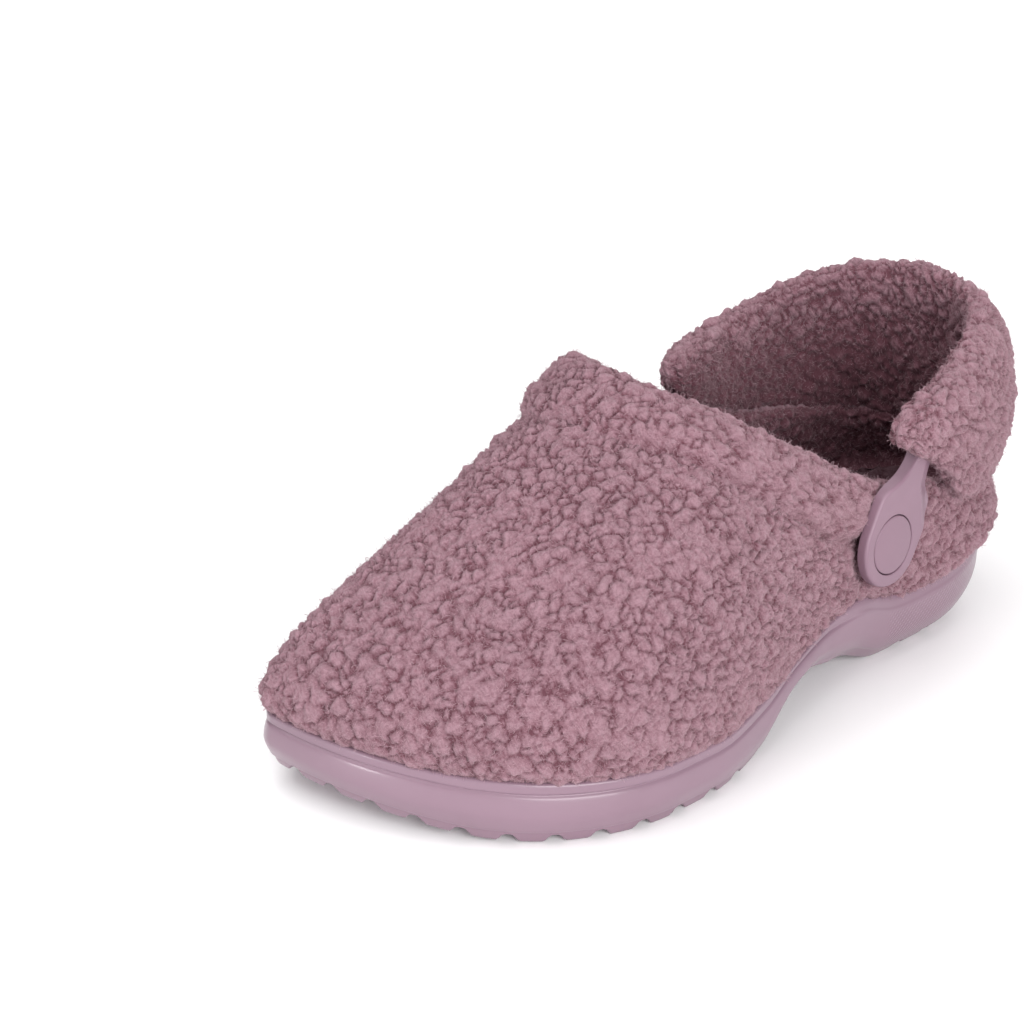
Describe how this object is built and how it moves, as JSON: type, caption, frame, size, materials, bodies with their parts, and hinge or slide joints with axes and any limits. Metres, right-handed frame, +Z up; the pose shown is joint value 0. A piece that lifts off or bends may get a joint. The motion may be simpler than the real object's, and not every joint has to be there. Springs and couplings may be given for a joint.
{
  "type": "sherpa clog slipper",
  "caption": "Left clog slipper: hollow curly-fleece upper with a raised throat cuff, lugged foam sole with arch and toe spring, and a padded fleece heel strap held by riveted side tabs.",
  "frame": {"origin": "on the floor under the middle of the standing shoe's overall box", "axes": "+Y towards the heel, +X towards the lateral side of the left foot, +Z up"},
  "size_m": [0.1092, 0.2628, 0.1082],
  "materials": {
    "sole_foam": "satin",
    "upper_fleece": "curly pile",
    "insole_fleece": "curly pile",
    "strap_fleece": "curly pile",
    "tab_plastic": "satin",
    "rivet_plastic": "satin"
  },
  "bodies": {
    "root": {"sole": "sole_foam", "insole": "insole_fleece", "upper": "upper_fleece", "heel_strap": "strap_fleece", "strap_tab_lateral": "tab_plastic", "strap_tab_medial": "tab_plastic", "rivet_lateral": "rivet_plastic", "rivet_medial": "rivet_plastic"}
  },
  "joints": []
}
